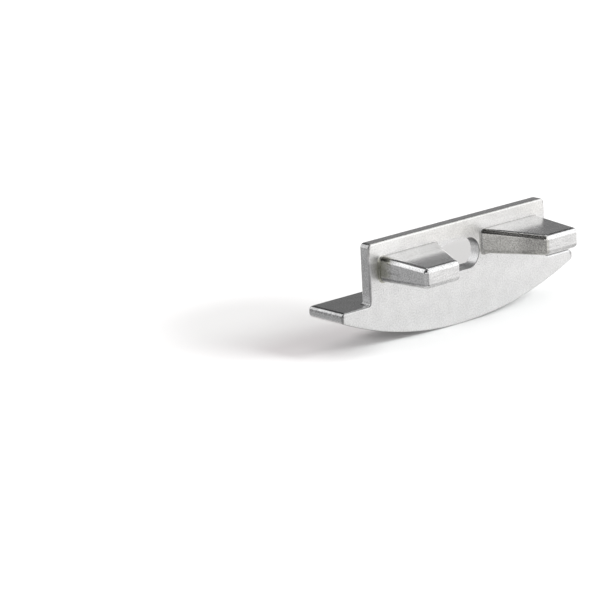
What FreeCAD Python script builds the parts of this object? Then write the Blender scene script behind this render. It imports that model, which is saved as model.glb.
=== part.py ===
import FreeCAD, Part
import os

# Die-cast end cap for an arch-faced lighting profile, in millimetres.
# X runs along the cap, Y from the mating face into the cap, and Z up.
# The origin is on the mating face, halfway along the cap, level with the ledge.
# The lugs point along -Y, and the arched face is at the bottom.

# Arched flange, the visible end of the profile, whose flat top is the ledge
flange_length = 30.0
flange_height = 4.15
flange_end_height = 0.95
flange_overhang = 3.65

# Upright plate that closes the profile's channel
plate_length = 22.8
plate_height = 5.8
plate_thickness = 1.25

# Two tapered lugs that grip the inside of the channel
lug_inset = 1.2
lug_level = 2.0
lug_length = 6.0
lug_tip_width = 4.2
lug_root_thickness = 2.45
lug_outer_draft = 0.35
lug_top_draft = 0.35
lug_bottom_draft = 0.15

# Obround slot for the lead, between the roots of the lugs
slot_length = 5.2
slot_height = 3.0
slot_level = 2.45
slot_to_lug = 0.2

# Corners and edges rounded in casting and tumbling
flange_end_radius = 0.45
flange_back_radius = 0.45
plate_corner_radius = 0.45
ledge_corner_radius = 0.25
outline_radius = 0.18
lug_edge_radius = 0.46
lug_root_radius = 0.12
slot_rim_radius = 0.1

# Places that follow from the sizes
flange_depth = plate_thickness + flange_overhang
lug_root_outer = plate_length / 2 - lug_inset
lug_root_inner = slot_length / 2 + slot_to_lug
lug_root_top = lug_level + lug_root_thickness
lug_tip_outer = lug_root_outer - lug_outer_draft
lug_tip_inner = lug_tip_outer - lug_tip_width

# How near an edge has to be to a plane or a limit to count as on it
TOLERANCE = 0.001


def at(x, y, z):
    return FreeCAD.Vector(x, y, z)


def drawn_out(outline, start, end):
    """The outline, which lies at Y = start, drawn out along Y to end."""
    return Part.Face(Part.Wire(outline)).extrude(at(0, end - start, 0))


def runs_along_y(box):
    return box.XLength < TOLERANCE and box.ZLength < TOLERANCE


def lies_across_y(box, y):
    return abs(box.YMin - y) < TOLERANCE and abs(box.YMax - y) < TOLERANCE


def within(value, low, high):
    return low - TOLERANCE < value < high + TOLERANCE


def rounded(shape, radius, chosen):
    """The shape with every edge rounded whose box the test chooses."""
    return shape.makeFillet(radius, [edge for edge in shape.Edges if chosen(edge.BoundBox)])


def flange():
    """Flat on top, upright at both ends, with one wide arc below."""
    end = flange_length / 2
    top_left = at(-end, 0, 0)
    top_right = at(end, 0, 0)
    low_left = at(-end, 0, -flange_end_height)
    low_right = at(end, 0, -flange_end_height)
    crown = at(0, 0, -flange_height)
    outline = [
        Part.LineSegment(top_left, top_right).toShape(),
        Part.LineSegment(top_right, low_right).toShape(),
        Part.Arc(low_right, crown, low_left).toShape(),
        Part.LineSegment(low_left, top_left).toShape(),
    ]
    return rounded(drawn_out(outline, 0, flange_depth), flange_end_radius, runs_along_y)


def plate():
    """Upright plate with rounded top corners, its foot let into the flange."""
    foot = -flange_end_height
    block = Part.makeBox(plate_length, plate_thickness, plate_height - foot, at(-plate_length / 2, 0, foot))

    def top_corner(box):
        return runs_along_y(box) and box.ZMin > plate_height - TOLERANCE

    return rounded(block, plate_corner_radius, top_corner)


def closing_body():
    """Flange and plate in one, flush at the mating face, with soft edges."""
    shape = flange().fuse(plate()).removeSplitter()

    def flange_back(box):
        return lies_across_y(box, flange_depth)

    def plate_foot(box):
        beside = runs_along_y(box) and within(abs(box.Center.x), plate_length / 2, plate_length / 2)
        behind = lies_across_y(box, plate_thickness)
        return (beside or behind) and within(box.ZMin, 0, 0) and within(box.ZMax, 0, 0)

    def mating_outline(box):
        return lies_across_y(box, 0)

    def plate_back(box):
        return lies_across_y(box, plate_thickness) and box.ZMax > ledge_corner_radius + TOLERANCE

    shape = rounded(shape, flange_back_radius, flange_back)
    shape = rounded(shape, ledge_corner_radius, plate_foot)
    shape = rounded(shape, outline_radius, mating_outline)
    return rounded(shape, outline_radius, plate_back)


def lug_limits(y):
    """Inner, outer, lower and upper limit at Y of the right lug, whose root is at Y = 0."""
    share = -y / lug_length
    inner = lug_root_inner + share * (lug_tip_inner - lug_root_inner)
    outer = lug_root_outer + share * (lug_tip_outer - lug_root_outer)
    lower = lug_level + share * lug_bottom_draft
    upper = lug_root_top - share * lug_top_draft
    return inner, outer, lower, upper


def right_lug():
    """Lug with flat drafted faces and rounded edges, seated halfway into the plate."""
    tip = -lug_length
    seat = plate_thickness / 2
    tip_inner, tip_outer, tip_lower, tip_upper = lug_limits(tip)
    inner, outer, lower, upper = lug_limits(seat)
    low_corner = [tip_inner, tip, tip_lower, lower, inner]
    high_corner = [tip_outer, seat, tip_upper, upper, outer]
    wedge = Part.makeWedge(*low_corner, *high_corner)

    def outside_plate(box):
        return box.YMin < -TOLERANCE

    return rounded(wedge, lug_edge_radius, outside_plate)


def with_lugs(body):
    """The body with both lugs, blended into the mating face at their roots."""
    right = right_lug()
    left = right.mirror(at(0, 0, 0), at(1, 0, 0))

    def lug_root(box):
        beside_middle = within(abs(box.Center.x), lug_root_inner, lug_root_outer)
        at_height = within(box.Center.z, lug_level, lug_root_top)
        return lies_across_y(box, 0) and beside_middle and at_height

    return rounded(body.fuse([right, left]), lug_root_radius, lug_root)


def slot_core():
    """Obround core that leaves the slot when it is drawn out between the lugs."""
    radius = slot_height / 2
    straight = slot_length / 2 - radius
    front = -lug_length
    top = slot_level + radius
    bottom = slot_level - radius
    right = at(straight + radius, front, slot_level)
    left = at(-straight - radius, front, slot_level)
    outline = [
        Part.LineSegment(at(-straight, front, top), at(straight, front, top)).toShape(),
        Part.Arc(at(straight, front, top), right, at(straight, front, bottom)).toShape(),
        Part.LineSegment(at(straight, front, bottom), at(-straight, front, bottom)).toShape(),
        Part.Arc(at(-straight, front, bottom), left, at(-straight, front, top)).toShape(),
    ]
    return drawn_out(outline, front, plate_thickness)


def with_slot(body):
    """The body with the slot through its plate, softened at the back rim."""

    def back_rim(box):
        between_lugs = abs(box.Center.x) < lug_root_inner
        at_height = within(box.Center.z, slot_level - slot_height / 2, slot_level + slot_height / 2)
        return lies_across_y(box, plate_thickness) and between_lugs and at_height

    return rounded(body.cut(slot_core()), slot_rim_radius, back_rim)


end_cap = with_slot(with_lugs(closing_body())).Solids[0]
os.makedirs("parts", exist_ok=True)
end_cap.exportStep("parts/end_cap.step")
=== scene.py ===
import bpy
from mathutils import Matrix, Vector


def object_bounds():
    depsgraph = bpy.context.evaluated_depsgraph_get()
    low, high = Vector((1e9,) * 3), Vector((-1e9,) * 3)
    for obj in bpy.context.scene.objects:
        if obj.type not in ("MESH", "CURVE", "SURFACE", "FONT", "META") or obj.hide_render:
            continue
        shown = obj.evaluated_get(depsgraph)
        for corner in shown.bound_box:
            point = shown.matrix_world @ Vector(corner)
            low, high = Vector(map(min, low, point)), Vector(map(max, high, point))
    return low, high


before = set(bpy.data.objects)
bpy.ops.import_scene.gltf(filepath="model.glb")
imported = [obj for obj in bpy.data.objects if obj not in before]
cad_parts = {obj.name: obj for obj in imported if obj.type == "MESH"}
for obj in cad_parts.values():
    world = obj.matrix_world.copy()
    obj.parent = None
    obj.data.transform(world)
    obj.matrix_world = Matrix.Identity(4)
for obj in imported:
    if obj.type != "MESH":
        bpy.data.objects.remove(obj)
CAD_BOX = [list(corner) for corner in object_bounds()]

import math
from collections import namedtuple

import bpy
from mathutils import Matrix, Vector

MM = 0.001

# Camera, calibrated on the edges of the photographed cap: place in millimetres, and two axes
CAMERA_PLACE = (-214.627, -227.524, 82.893)
CAMERA_RIGHT = (0.74983, -0.65964, -0.05128)
CAMERA_DOWN = (-0.20879, -0.16236, -0.96439)
FOCAL_SHARE = 3434.94 / 600
SENSOR_WIDTH = 36.0
CLIP_START = 0.01
CLIP_END = 20

# The cap stands on its arc, and the floor lies a hair lower, so that they share no plane
GROUND = CAD_BOX[0][2] / MM
FLOOR_GAP = 0.01
FLOOR_SIZE = 6000

# Origin of the cap, which most cards face, and how far away the key lamp is drawn
CAP_ORIGIN = (0, 0, 0)
KEY_DISTANCE = 600

# Pale room and white paper
WHITE = (1, 1, 1, 1)
ROOM_LIGHT = (0.80, 0.765, 0.77, 1)
PAPER_WHITE = (0.86, 0.86, 0.86, 1)
PAPER_SHADE = (0.56, 0.56, 0.555, 1)
PAPER_IN_METAL = (0.715, 0.715, 0.705, 1)
PAPER_LIFT = 0.08

# Metal: clean, warmer, and olive in the painted shade at the left lug's root; no tone goes below
# the darkest
METAL_COOL = (0.78, 0.78, 0.785, 1)
METAL_WARM = (0.81, 0.795, 0.755, 1)
METAL_OLIVE = (0.80, 0.795, 0.71, 1)
DARKEST = 0.05

# Fine relief of the cast surface, its depth in millimetres
RELIEF_DEPTH = 0.008
RELIEF_STRENGTH = 0.5

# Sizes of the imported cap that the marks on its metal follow, in millimetres
FLANGE_END = 15.0
ARC_RADIUS = 36.756
ARC_CENTRE = GROUND + ARC_RADIUS
PLATE_END = 11.4
PLATE_TOP = 5.8
PLATE_BACK = 1.25
SLOT_LEVEL = 2.45
SLOT_RADIUS = 1.5
SLOT_END_CENTRE = 1.1
SLOT_END = SLOT_END_CENTRE + SLOT_RADIUS
LUG_TIP = -6.0

# The drafted sides of a lug, each at the root and at the tip
LUG_INNER = (2.8, 5.65)
LUG_OUTER = (10.2, 9.85)
LUG_UNDER = (2.0, 2.15)
LUG_TOP = (4.45, 4.10)

# Centre and half size, along X and Z, of the rounded outline of a lug's root
ROOT_CENTRE = ((LUG_INNER[0] + LUG_OUTER[0]) / 2, (LUG_UNDER[0] + LUG_TOP[0]) / 2)
ROOT_HALF = ((LUG_OUTER[0] - LUG_INNER[0]) / 2, (LUG_TOP[0] - LUG_UNDER[0]) / 2)
ROOT_ROUND = 0.46

# Faint smudge between the lugs, along X and Z
SMUDGE_CENTRE = (1.9, 4.5)
SMUDGE_REACH = (1.9, 0.9)

# Shades on the paper in millimetres. Each axis of a shade has a direction on the ground, a
# centre, and a reach before and after it. The shade fades between two shares of that reach.
Axis = namedtuple("Axis", "direction centre before after")
Shade = namedtuple("Shade", "axes fade strength")
SHADE_BEHIND = Shade(
    axes=(Axis((1, -0.856), 1.5, 11.5, 11.5), Axis((0, 1), 18, 20, 10.4)),
    fade=(0.38, 1.0),
    strength=1.0,
)
SHADE_LEFT = Shade(
    axes=(Axis((0.654, 0.756), 4, 15.5, 15.5), Axis((0.75, -0.66), -20, 14, 14)),
    fade=(0.3, 1.05),
    strength=0.52,
)
SHADE_UNDER_ARC = Shade(
    axes=(Axis((0.654, 0.756), -2.3, 2.8, 2.8), Axis((0.904, -0.427), -7.4, 5.5, 5.5)),
    fade=(0.2, 1.0),
    strength=0.44,
)

# A place on the cap in millimetres: as a vector, in its parts, and how far from the middle
Spot = namedtuple("Spot", "place x y z side")

# Masks of the parts of the cap: the mating face and its strip above the lugs, the wall of
# the slot, the ledge, and the lugs and their tops
Parts = namedtuple("Parts", "front upper slot_wall ledge lugs lug_tops")


class Graph:
    """Shader nodes of one tree; every value is a number, a colour or another node's output."""

    def __init__(self, tree):
        self.tree = tree
        tree.nodes.clear()

    def node(self, kind, inputs=None, **settings):
        made = self.tree.nodes.new(kind)
        for name, value in settings.items():
            setattr(made, name, value)
        for name, value in (inputs or {}).items():
            if isinstance(value, bpy.types.NodeSocket):
                self.tree.links.new(value, made.inputs[name])
            else:
                made.inputs[name].default_value = value
        return made

    def math(self, operation, *values):
        """The operation on one value, or from left to right over all of them."""
        if len(values) == 1:
            return self.node("ShaderNodeMath", {0: values[0]}, operation=operation).outputs[0]
        result = values[0]
        for value in values[1:]:
            inputs = {0: result, 1: value}
            result = self.node("ShaderNodeMath", inputs, operation=operation).outputs[0]
        return result

    def times(self, *values):
        return self.math("MULTIPLY", *values)

    def plus(self, *values):
        return self.math("ADD", *values)

    def minus(self, value, taken):
        return self.math("SUBTRACT", value, taken)

    def most(self, *values):
        return self.math("MAXIMUM", *values)

    def squares(self, *values):
        """Sum of the squares of the values."""
        return self.plus(*(self.math("POWER", value, 2.0) for value in values))

    def length(self, *values):
        """Length of the vector whose parts are the values."""
        return self.math("SQRT", self.squares(*values))

    def rise(self, value, low, high, start=0.0, end=1.0):
        """Smooth step from start to end while value goes from low to high."""
        inputs = {"Value": value, "From Min": low, "From Max": high, "To Min": start, "To Max": end}
        return self.node("ShaderNodeMapRange", inputs, interpolation_type="SMOOTHSTEP").outputs[0]

    def fall(self, value, low, high):
        """Smooth step from 1 to 0 while value goes from low to high."""
        return self.rise(value, low, high, start=1.0, end=0.0)

    def band(self, value, low, high, soft):
        """1 between low and high, falling to 0 over the soft width on both sides."""
        return self.times(self.rise(value, low - soft, low), self.fall(value, high, high + soft))

    def noise(self, place, scale, detail=2.0, roughness=0.5):
        inputs = {"Vector": place, "Scale": scale, "Detail": detail, "Roughness": roughness}
        return self.node("ShaderNodeTexNoise", inputs).outputs["Fac"]

    def stretched(self, place, factors):
        return self.node("ShaderNodeMapping", {"Vector": place, "Scale": factors}).outputs[0]

    def blend(self, share, a, b):
        """Colour a where share is 0 and b where it is 1."""
        return self.node("ShaderNodeMix", {0: share, 6: a, 7: b}, data_type="RGBA").outputs[2]

    def spot(self):
        """The place on the object, in millimetres."""
        place = self.node("ShaderNodeTexCoord").outputs["Object"]
        place = self.stretched(place, (1 / MM,) * 3)
        x, y, z = self.node("ShaderNodeSeparateXYZ", {0: place}).outputs
        return Spot(place, x, y, z, self.math("ABSOLUTE", x))

    def seen_white(self):
        """1 for rays from the camera and from shiny or clear surfaces."""
        rays = self.node("ShaderNodeLightPath").outputs
        kinds = ("Is Glossy Ray", "Is Transmission Ray", "Is Camera Ray")
        return self.most(*(rays[kind] for kind in kinds))

    def surface(self, shader, output="ShaderNodeOutputMaterial"):
        self.node(output, {"Surface": shader})


def new_material(name):
    material = bpy.data.materials.new(name)
    material.use_nodes = True
    return material, Graph(material.node_tree)


def make_camera():
    data = bpy.data.cameras.new("camera")
    data.sensor_width = SENSOR_WIDTH
    data.lens = FOCAL_SHARE * SENSOR_WIDTH
    data.clip_start = CLIP_START
    data.clip_end = CLIP_END
    camera = bpy.data.objects.new("camera", data)
    right = Vector(CAMERA_RIGHT).normalized()
    up = -Vector(CAMERA_DOWN).normalized()
    axes = Matrix((right, up, right.cross(up))).transposed()
    camera.matrix_world = Matrix.Translation(Vector(CAMERA_PLACE) * MM) @ axes.to_4x4()
    bpy.context.scene.collection.objects.link(camera)
    bpy.context.scene.camera = camera


def facing(place, target):
    """Matrix at place, in millimetres, whose Z axis points to target."""
    turn = (Vector(target) - Vector(place)).to_track_quat("Z", "Y")
    return Matrix.Translation(Vector(place) * MM) @ turn.to_matrix().to_4x4()


def around(azimuth, elevation, distance):
    """Place in millimetres seen from the cap at that azimuth from +X and that elevation."""
    a, e = math.radians(azimuth), math.radians(elevation)
    return Vector((math.cos(a) * math.cos(e), math.sin(a) * math.cos(e), math.sin(e))) * distance


def add_sheet(name, width, height, matrix, material):
    """Flat rectangle, in millimetres, square to the Z axis of the matrix."""
    x, y = width / 2 * MM, height / 2 * MM
    mesh = bpy.data.meshes.new(name)
    mesh.from_pydata([(-x, -y, 0), (x, -y, 0), (x, y, 0), (-x, y, 0)], [], [(0, 1, 2, 3)])
    mesh.materials.append(material)
    made = bpy.data.objects.new(name, mesh)
    made.matrix_world = matrix
    bpy.context.scene.collection.objects.link(made)
    return made


def shaded(g, at, shade):
    """Strength of one shade at each spot of the paper."""
    reaches = []
    for (share_x, share_y), centre, before, after in shade.axes:
        past = g.plus(g.times(at.x, share_x), g.times(at.y, share_y), -centre)
        reaches.append(g.most(g.times(past, 1 / after), g.times(past, -1 / before)))
    return g.rise(g.length(*reaches), *shade.fade, start=shade.strength, end=0.0)


def paper():
    """White paper that keeps the shadow, with soft shades behind, beside and under the cap."""
    material, g = new_material("paper")
    at = g.spot()
    shade = g.most(*(shaded(g, at, each) for each in (SHADE_BEHIND, SHADE_LEFT, SHADE_UNDER_ARC)))
    from_camera = g.node("ShaderNodeLightPath").outputs["Is Camera Ray"]
    colour = g.blend(from_camera, PAPER_IN_METAL, g.blend(shade, PAPER_WHITE, PAPER_SHADE))
    diffuse = g.node("ShaderNodeBsdfDiffuse", {"Color": colour}).outputs[0]
    strength = g.times(g.seen_white(), g.rise(shade, 0.0, 1.0, start=PAPER_LIFT, end=0.0))
    glow = g.node("ShaderNodeEmission", {"Strength": strength}).outputs[0]
    g.surface(g.node("ShaderNodeAddShader", {0: diffuse, 1: glow}).outputs[0])
    return material


def add_floor():
    matrix = Matrix.Translation((0, 0, (GROUND - FLOOR_GAP) * MM))
    add_sheet("floor", FLOOR_SIZE, FLOOR_SIZE, matrix, paper())


def add_card(name, width, height, matrix, level):
    """A card that only the metal sees."""
    material, g = new_material(name)
    g.surface(g.node("ShaderNodeEmission", {"Color": (level, level, level, 1)}).outputs[0])
    card = add_sheet(name, width, height, matrix, material)
    card.visible_camera = False
    card.visible_diffuse = False
    card.visible_transmission = False
    card.visible_shadow = False


def add_key(azimuth, elevation, width, strength, colour):
    """Far soft lamp of that width in degrees, which the metal doesn't mirror."""
    data = bpy.data.lights.new("key", "SUN")
    data.angle = math.radians(width)
    data.energy = strength
    data.color = colour
    lamp = bpy.data.objects.new("key", data)
    place = around(azimuth, elevation, KEY_DISTANCE)
    lamp.matrix_world = facing(place, place * 2)
    lamp.visible_glossy = False
    bpy.context.scene.collection.objects.link(lamp)


def add_world():
    """Pale room that lights the cap, and white where it is seen."""
    world = bpy.data.worlds.new("studio")
    world.use_nodes = True
    g = Graph(world.node_tree)
    room = g.node("ShaderNodeBackground", {"Color": ROOM_LIGHT}).outputs[0]
    white = g.node("ShaderNodeBackground", {"Color": WHITE}).outputs[0]
    mixed = g.node("ShaderNodeMixShader", {0: g.seen_white(), 1: room, 2: white}).outputs[0]
    g.surface(mixed, "ShaderNodeOutputWorld")
    bpy.context.scene.world = world


def cap_parts(g, at):
    """Masks of the parts of the cap, each from where it lies."""
    front = g.band(at.y, -0.06, 0.12, soft=0.06)
    lugs = g.fall(at.y, -0.3, -0.08)
    slot_reach = SLOT_RADIUS + 0.05
    in_slot = g.band(at.z, SLOT_LEVEL - slot_reach, SLOT_LEVEL + slot_reach, soft=0.05)
    in_slot = g.times(in_slot, g.fall(at.side, SLOT_END + 0.05, SLOT_END + 0.15))
    in_plate = g.times(g.rise(at.y, 0.01, 0.05), g.fall(at.y, PLATE_BACK - 0.13, PLATE_BACK - 0.05))
    on_ledge = g.times(g.rise(at.z, -0.1, 0.0), g.fall(at.z, 0.1, 0.3))
    return Parts(
        front=front,
        upper=g.times(front, g.rise(at.z, LUG_TOP[0] - 0.55, LUG_TOP[0] + 0.25)),
        slot_wall=g.times(in_slot, in_plate),
        ledge=g.times(g.rise(at.y, 0.12, 0.3), on_ledge),
        lugs=lugs,
        lug_tops=g.times(lugs, g.rise(at.z, LUG_TOP[1] - 0.2, LUG_TOP[1])),
    )


def drafted(g, at, side):
    """Where a drafted side of a lug lies at the spot's Y, from its places at root and tip."""
    root, tip = side
    return g.plus(root, g.times(at.y, (tip - root) / LUG_TIP))


def past_inner_side(g, at):
    """How far the spot lies past the right lug's inner side, towards its outer one."""
    return g.minus(at.x, drafted(g, at, LUG_INNER))


def outside_root(g, at):
    """Distance out from the rounded outline of a lug's root, across the mating face."""
    over = []
    for part, centre, half in zip((at.side, at.z), ROOT_CENTRE, ROOT_HALF):
        from_centre = g.math("ABSOLUTE", g.plus(part, -centre))
        over.append(g.most(g.plus(from_centre, ROOT_ROUND - half), 0.0))
    return g.plus(g.length(*over), -ROOT_ROUND)


def root_corner_shade(g, at, lugs, patches):
    """Painted shade in the corners at the lugs' roots, where plate and lug mirror each other
    darkly; wider at their outer ends and on the left lug.
    """
    outside = outside_root(g, at)
    face = g.fall(at.y, 0.1, 0.2)
    root = g.times(face, g.rise(at.y, -0.4, -0.05))

    crease_shade = g.times(root, g.band(outside, -0.05, 0.08, soft=0.10))
    crease_shade = g.times(crease_shade, g.rise(at.z, 3.9, 4.4, start=0.52, end=0.22))

    halo = g.times(face, g.rise(at.y, -1.9, 0.0), g.fall(outside, 0.0, 1.0))
    halo = g.times(halo, g.rise(at.side, 7.0, 9.5), g.band(at.z, 2.6, 3.6, soft=0.6), patches)

    outer_end = g.times(face, g.rise(at.y, -1.0, -0.1), g.rise(outside, -0.4, -0.1))
    outer_end = g.times(outer_end, g.fall(outside, 0.0, 0.5), g.rise(at.side, 9.4, 10.0))
    outer_end = g.times(outer_end, g.band(at.z, 2.9, 3.5, soft=0.8))

    left_fillet = g.times(root, g.fall(at.x, -10.0, -9.4), g.band(outside, -0.02, 0.14, soft=0.05))
    left_fillet = g.times(left_fillet, g.band(at.z, 2.5, 3.8, soft=0.5))

    left_collar = g.times(lugs, g.rise(at.y, -2.0, -0.5), g.fall(at.x, -9.9, -9.3), patches)
    left_collar = g.times(left_collar, g.rise(at.z, 2.2, 2.8), g.rise(at.z, 3.6, 4.2, 0.56, 0.8))

    spread = g.most(g.times(halo, 0.30), g.times(outer_end, 0.52), g.times(left_fillet, 0.69))
    return g.most(crease_shade, spread, left_collar)


def right_lug_dark_reflection(g, at):
    """Painted dark reflection along the inner upper edge of the right lug, and painted shade on its
    inner side at the tip.
    """
    past_inner = past_inner_side(g, at)
    under_top = g.minus(drafted(g, at, LUG_TOP), at.z)
    # scale: the painted dark reflection along the edge; tip_shade: painted shade
    scale = g.times(g.band(past_inner, -0.1, 0.30, soft=0.12), g.band(at.y, -5.7, -0.16, soft=0.06))
    scale = g.times(scale, g.band(under_top, -0.1, 0.36, soft=0.12))
    tip_shade = g.times(g.band(past_inner, -0.1, 0.2, soft=0.2), g.band(at.y, -5.5, -4.4, soft=1.6))
    tip_shade = g.times(tip_shade, g.rise(under_top, 0.3, 0.5))
    return scale, tip_shade


def painted_edge_shades(g, at, lugs):
    """Painted shade: dark rims under the lugs, on the upright ends of plate and flange, and on the
    arc, where these edges mirror shaded floor and dark surroundings.
    """
    over_under = g.minus(at.z, drafted(g, at, LUG_UNDER))
    lug_underside_shade = g.times(lugs, g.rise(over_under, 0.02, 0.24), g.fall(over_under, 0.40, 0.54))
    lug_underside_shade = g.times(lug_underside_shade, g.rise(at.y, -5.6, -3.4, start=0.5, end=1.0))

    plate_end = g.times(g.rise(at.side, PLATE_END - 0.2, PLATE_END - 0.08), g.rise(at.z, 0.2, 0.4))
    flange_end = g.rise(at.side, FLANGE_END - 0.25, FLANGE_END - 0.15)
    flange_end = g.times(flange_end, g.fall(at.z, 0.0, 0.05))
    ends = g.times(g.most(plate_end, flange_end), g.band(at.y, 0.0, 0.12, soft=0.05))
    ends = g.times(ends, g.rise(at.side, PLATE_END + 0.1, FLANGE_END - 0.5, start=0.6, end=1.0))

    from_arc_centre = g.length(at.x, g.plus(at.z, -ARC_CENTRE))
    arc = g.rise(from_arc_centre, ARC_RADIUS - 0.08, ARC_RADIUS - 0.02)
    arc = g.times(arc, g.band(at.y, 0.08, 0.3, soft=0.06))
    return lug_underside_shade, g.most(ends, arc)


def slot_rim(g, at, front):
    """Dark line round the right end of the slot, on the mating face."""
    along = g.most(g.plus(at.side, -SLOT_END_CENTRE), 0.0)
    from_centre = g.length(along, g.plus(at.z, -SLOT_LEVEL))
    line = g.band(from_centre, SLOT_RADIUS - 0.02, SLOT_RADIUS + 0.03, soft=0.03)
    return g.times(line, g.fall(at.y, 0.02, 0.10), front, g.rise(at.x, 1.0, 1.8))


def cast_tone(g, at, parts, grain):
    """Change of tone from grain, pores, streaks and wear."""
    on_face = g.rise(parts.front, 0.0, 1.0, start=1.7, end=1.35)
    clouds = g.noise(at.place, 0.8)
    streaks = g.noise(g.stretched(at.place, (0.35, 1.0, 2.2)), 1.0, detail=3.0, roughness=0.6)
    brushed = g.noise(g.stretched(at.place, (0.4, 1.0, 4.0)), 1.5, detail=3.0, roughness=0.6)
    pores = g.rise(g.noise(at.place, 9.0, detail=1.0), 0.60, 0.72)
    below_lugs = g.times(parts.front, g.rise(at.z, -0.5, 1.6), g.fall(at.z, 1.9, 2.4))
    lug_tips = g.times(parts.lugs, g.fall(at.y, LUG_TIP + 0.1, LUG_TIP + 0.2))
    flange_ends = g.rise(at.side, FLANGE_END - 0.5, FLANGE_END - 0.3)
    flange_ends = g.times(flange_ends, g.rise(at.z, -0.55, -0.35))
    return g.plus(
        g.times(g.rise(grain, 0.3, 0.7, start=-0.10, end=0.10), on_face),
        g.rise(clouds, 0.3, 0.7, start=-0.03, end=0.03),
        g.times(parts.upper, g.rise(streaks, 0.5, 0.68, start=0.06, end=0.0)),
        g.times(below_lugs, pores, -0.42),
        g.times(lug_tips, g.rise(brushed, 0.4, 0.65, start=0.04, end=-0.11)),
        g.times(flange_ends, g.rise(g.noise(at.place, 2.4), 0.36, 0.64, start=-0.03, end=-0.30)),
    )


def painted_light_tone(g, at, parts):
    """Painted light and shade: tone lighter or darker from one part of the cap to the next, as the
    lights fall on each.
    """
    outer_sides = g.times(parts.lugs, g.rise(at.side, 9.6, 9.8), g.fall(at.y, -2.0, -1.2))
    above_left = g.times(g.fall(at.x, -10.1, -9.6), g.band(at.z, 4.05, 4.6, soft=0.25))
    lug_tops = g.times(parts.lug_tops, g.rise(at.y, -2.8, -1.8))
    return g.plus(
        g.times(parts.upper, g.rise(at.x, -8.0, 0.0, start=0.07, end=-0.04)),
        g.times(parts.front, g.rise(at.z, -4.0, -2.0, start=0.09, end=0.0)),
        g.times(parts.front, above_left, 0.28),
        g.times(parts.slot_wall, g.rise(at.z, 2.7, 3.5), -0.3),
        g.times(parts.slot_wall, g.rise(at.z, 1.3, 2.2, start=0.17, end=-0.08)),
        g.times(parts.ledge, -0.42),
        g.times(outer_sides, 0.10),
        g.times(lug_tops, g.rise(at.x, -1.0, 1.0, start=-0.40, end=-0.10)),
        g.times(parts.lug_tops, at.x, -0.016),
    )


def mark_and_edge_shade_tone(g, at, parts, patches):
    """Darker tone of smudges, cast marks and the slot's rim line, and painted shade on the edges
    and plate corners.
    """
    lug_underside_shade, edge_shade_lines = painted_edge_shades(g, at, parts.lugs)
    from_smudge = []
    for part, centre, reach in zip((at.x, at.z), SMUDGE_CENTRE, SMUDGE_REACH):
        from_smudge.append(g.times(g.plus(part, -centre), 1 / reach))
    smudge = g.times(parts.front, g.fall(g.squares(*from_smudge), 0.0, 1.0))
    # Painted shade on the plate's top corners
    plate_corner_shade = g.rise(at.side, PLATE_END - 0.4, PLATE_END - 0.2)
    plate_corner_shade = g.times(plate_corner_shade, g.rise(at.z, PLATE_TOP - 0.6, PLATE_TOP - 0.35))
    step = g.times(g.band(at.y, -2.6, -1.25, soft=0.12), g.band(at.z, 2.98, 3.14, soft=0.06))
    return g.plus(
        g.times(lug_underside_shade, -0.52),
        g.times(edge_shade_lines, -0.5),
        g.times(slot_rim(g, at, parts.front), -0.6),
        g.times(smudge, patches, -0.18),
        g.times(plate_corner_shade, patches, -0.28),
        g.times(step, g.rise(at.side, 9.7, 9.9), -0.18),
    )


def metal_colour(g, at, parts, grain, patches, root_shade):
    """Tint of the metal, times its tone: 1 where clean and plain, higher or lower where marks and
    painted light and shade lie.
    """
    # scale: the painted dark reflection on the right lug's inner upper edge
    scale, tip_shade = right_lug_dark_reflection(g, at)
    # Brown tint of the painted dark reflection, near the lug's root
    brown_dark_reflection = g.times(scale, g.rise(at.y, -2.2, -0.6))
    # Painted shade and dark reflections: the lugs' root corners, the right lug's inner edge and its
    # tip
    painted_shade_tone = g.plus(
        g.times(root_shade, -0.85),
        g.times(scale, -0.2),
        g.times(brown_dark_reflection, -0.32),
        g.times(tip_shade, -0.3),
    )
    plain_tone = g.plus(1.0, cast_tone(g, at, parts, grain), painted_light_tone(g, at, parts))
    tone = g.most(g.plus(plain_tone, mark_and_edge_shade_tone(g, at, parts, patches), painted_shade_tone), DARKEST)

    inner_side = g.times(parts.lugs, g.band(past_inner_side(g, at), -0.3, 0.2, soft=0.1))
    # Warmer tint on the upper strip and the lugs' inner sides, and in the painted root shade and
    # the painted brown reflection
    warm = g.most(g.times(parts.upper, 0.35), g.times(inner_side, 0.8), root_shade, brown_dark_reflection)
    # Olive tint in the painted shade at the left lug's root
    olive = g.times(g.rise(root_shade, 0.05, 0.45), g.fall(at.x, -10.0, -9.0))
    tint = g.blend(olive, g.blend(warm, METAL_COOL, METAL_WARM), METAL_OLIVE)
    return g.node("ShaderNodeVectorMath", {0: tint, "Scale": tone}, operation="SCALE").outputs[0]


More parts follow.
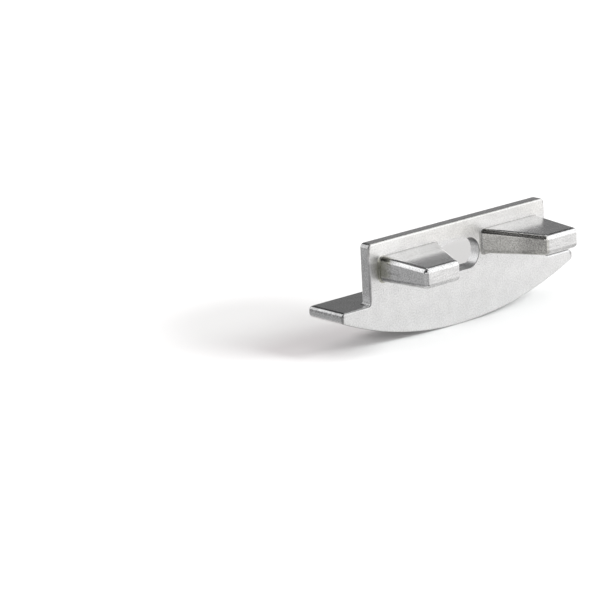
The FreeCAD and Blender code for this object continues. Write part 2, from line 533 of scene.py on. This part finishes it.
def cast_metal():
    """Satin die-cast metal: fine grain and pores, faint cast marks, and painted light, shade and
    reflections on its parts.
    """
    material, g = new_material("cast_metal_satin")
    at = g.spot()
    parts = cap_parts(g, at)
    grain = g.noise(at.place, 7.0, detail=3.0, roughness=0.7)
    patches = g.rise(g.noise(at.place, 1.6), 0.3, 0.65, start=0.55, end=1.0)
    root_shade = root_corner_shade(g, at, parts.lugs, patches)
    rough = g.plus(
        g.rise(grain, 0.25, 0.75, start=0.14, end=0.22),
        g.times(root_shade, 0.1),
        g.times(g.most(parts.front, parts.slot_wall), 0.2),
    )
    relief = g.plus(g.times(grain, 0.6), g.times(g.noise(at.place, 2.0), 0.4))
    bump = g.node("ShaderNodeBump", {
        "Height": relief,
        "Strength": RELIEF_STRENGTH,
        "Distance": RELIEF_DEPTH * MM,
    })
    shader = g.node("ShaderNodeBsdfPrincipled", {
        "Base Color": metal_colour(g, at, parts, grain, patches, root_shade),
        "Metallic": 1.0,
        "Roughness": rough,
        "Normal": bump.outputs[0],
    })
    g.surface(shader.outputs[0])
    return material


def dress(cad_object, material):
    cad_object.data.materials.clear()
    cad_object.data.materials.append(material)


make_camera()
add_floor()
add_world()

# Cards stand round the cap as in a photographer's tent: name, width and height in
# millimetres, place and turn, and how bright each is
add_card("card_behind_low", 170, 81, facing(around(50, 8, 118), CAP_ORIGIN), 0.27)
add_card("card_behind_high", 172, 50, facing(around(36, 41, 100), CAP_ORIGIN), 0.10)
add_card("card_behind_left", 64, 56, facing(around(80, 56, 104), CAP_ORIGIN), 0.12)
add_card("card_far_left", 62, 84, facing(around(181, 22, 100), CAP_ORIGIN), 0.12)
add_card("card_left_near", 22, 6.0, facing((-18.5, 9, -1.1), (0, 9, -1.1)), 0.37)
add_card("card_over", 64, 64, facing((-19, -16, 62), (-9, -6, 4)), 0.09)
add_card("card_left", 220, 80, facing((-55.5, 0, -2.2), (-53.5, 0, 40)), 0.43)
add_card("card_above", 84, 88, facing(around(-138, 38, 90), CAP_ORIGIN), 0.03)
add_card("card_front_left", 12, 90, facing((-9.5, -59, -3.9), (-9.5, -59, 40)), 0.42)
add_card("card_right", 140, 80, facing(around(-40, 20, 80), CAP_ORIGIN), 1.4)
add_key(azimuth=-44, elevation=34, width=25, strength=2.6, colour=(0.95, 1.0, 0.99))

dress(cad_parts["end_cap"], cast_metal())

bpy.context.scene.view_settings.view_transform = "Standard"
